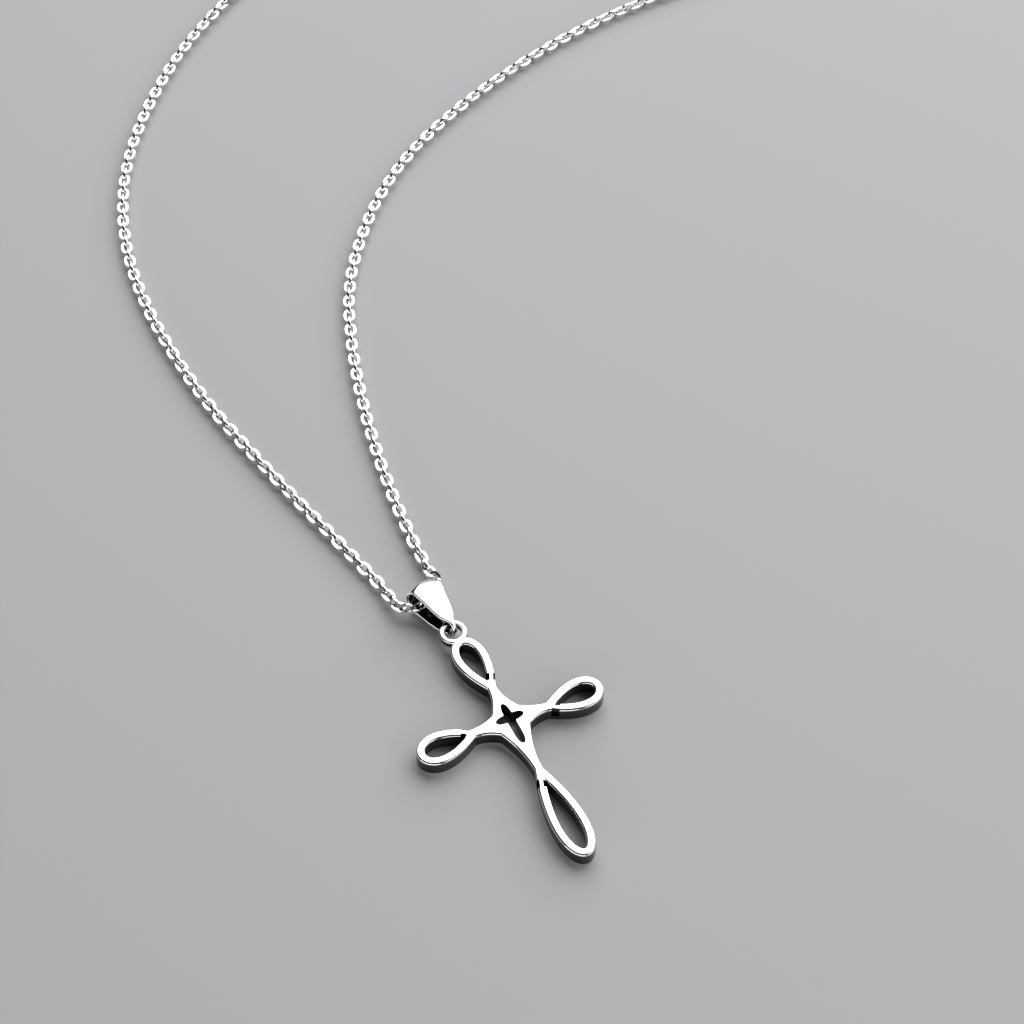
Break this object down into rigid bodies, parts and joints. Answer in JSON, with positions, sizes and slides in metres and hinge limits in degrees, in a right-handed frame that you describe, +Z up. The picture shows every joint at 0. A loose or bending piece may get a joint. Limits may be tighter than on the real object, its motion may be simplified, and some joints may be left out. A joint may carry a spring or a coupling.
{
  "type": "cross pendant necklace",
  "caption": "Openwork looped cross pendant with a pierced star, hanging from a folded bail on a fine cable chain with a ring clasp, laid flat.",
  "frame": {"origin": "under the middle of the whole necklace as it lies, on the surface that it rests on", "axes": "+Z up from the surface, +Y along the cross's stem from its foot to its ring, +X along its arms"},
  "size_m": [0.1624, 0.1443, 0.0033],
  "materials": {
    "silver": "polished"
  },
  "bodies": {
    "root": {"cross": "silver", "bail": "silver", "chain": "silver", "clasp": "silver", "end_ring": "silver"}
  },
  "joints": []
}
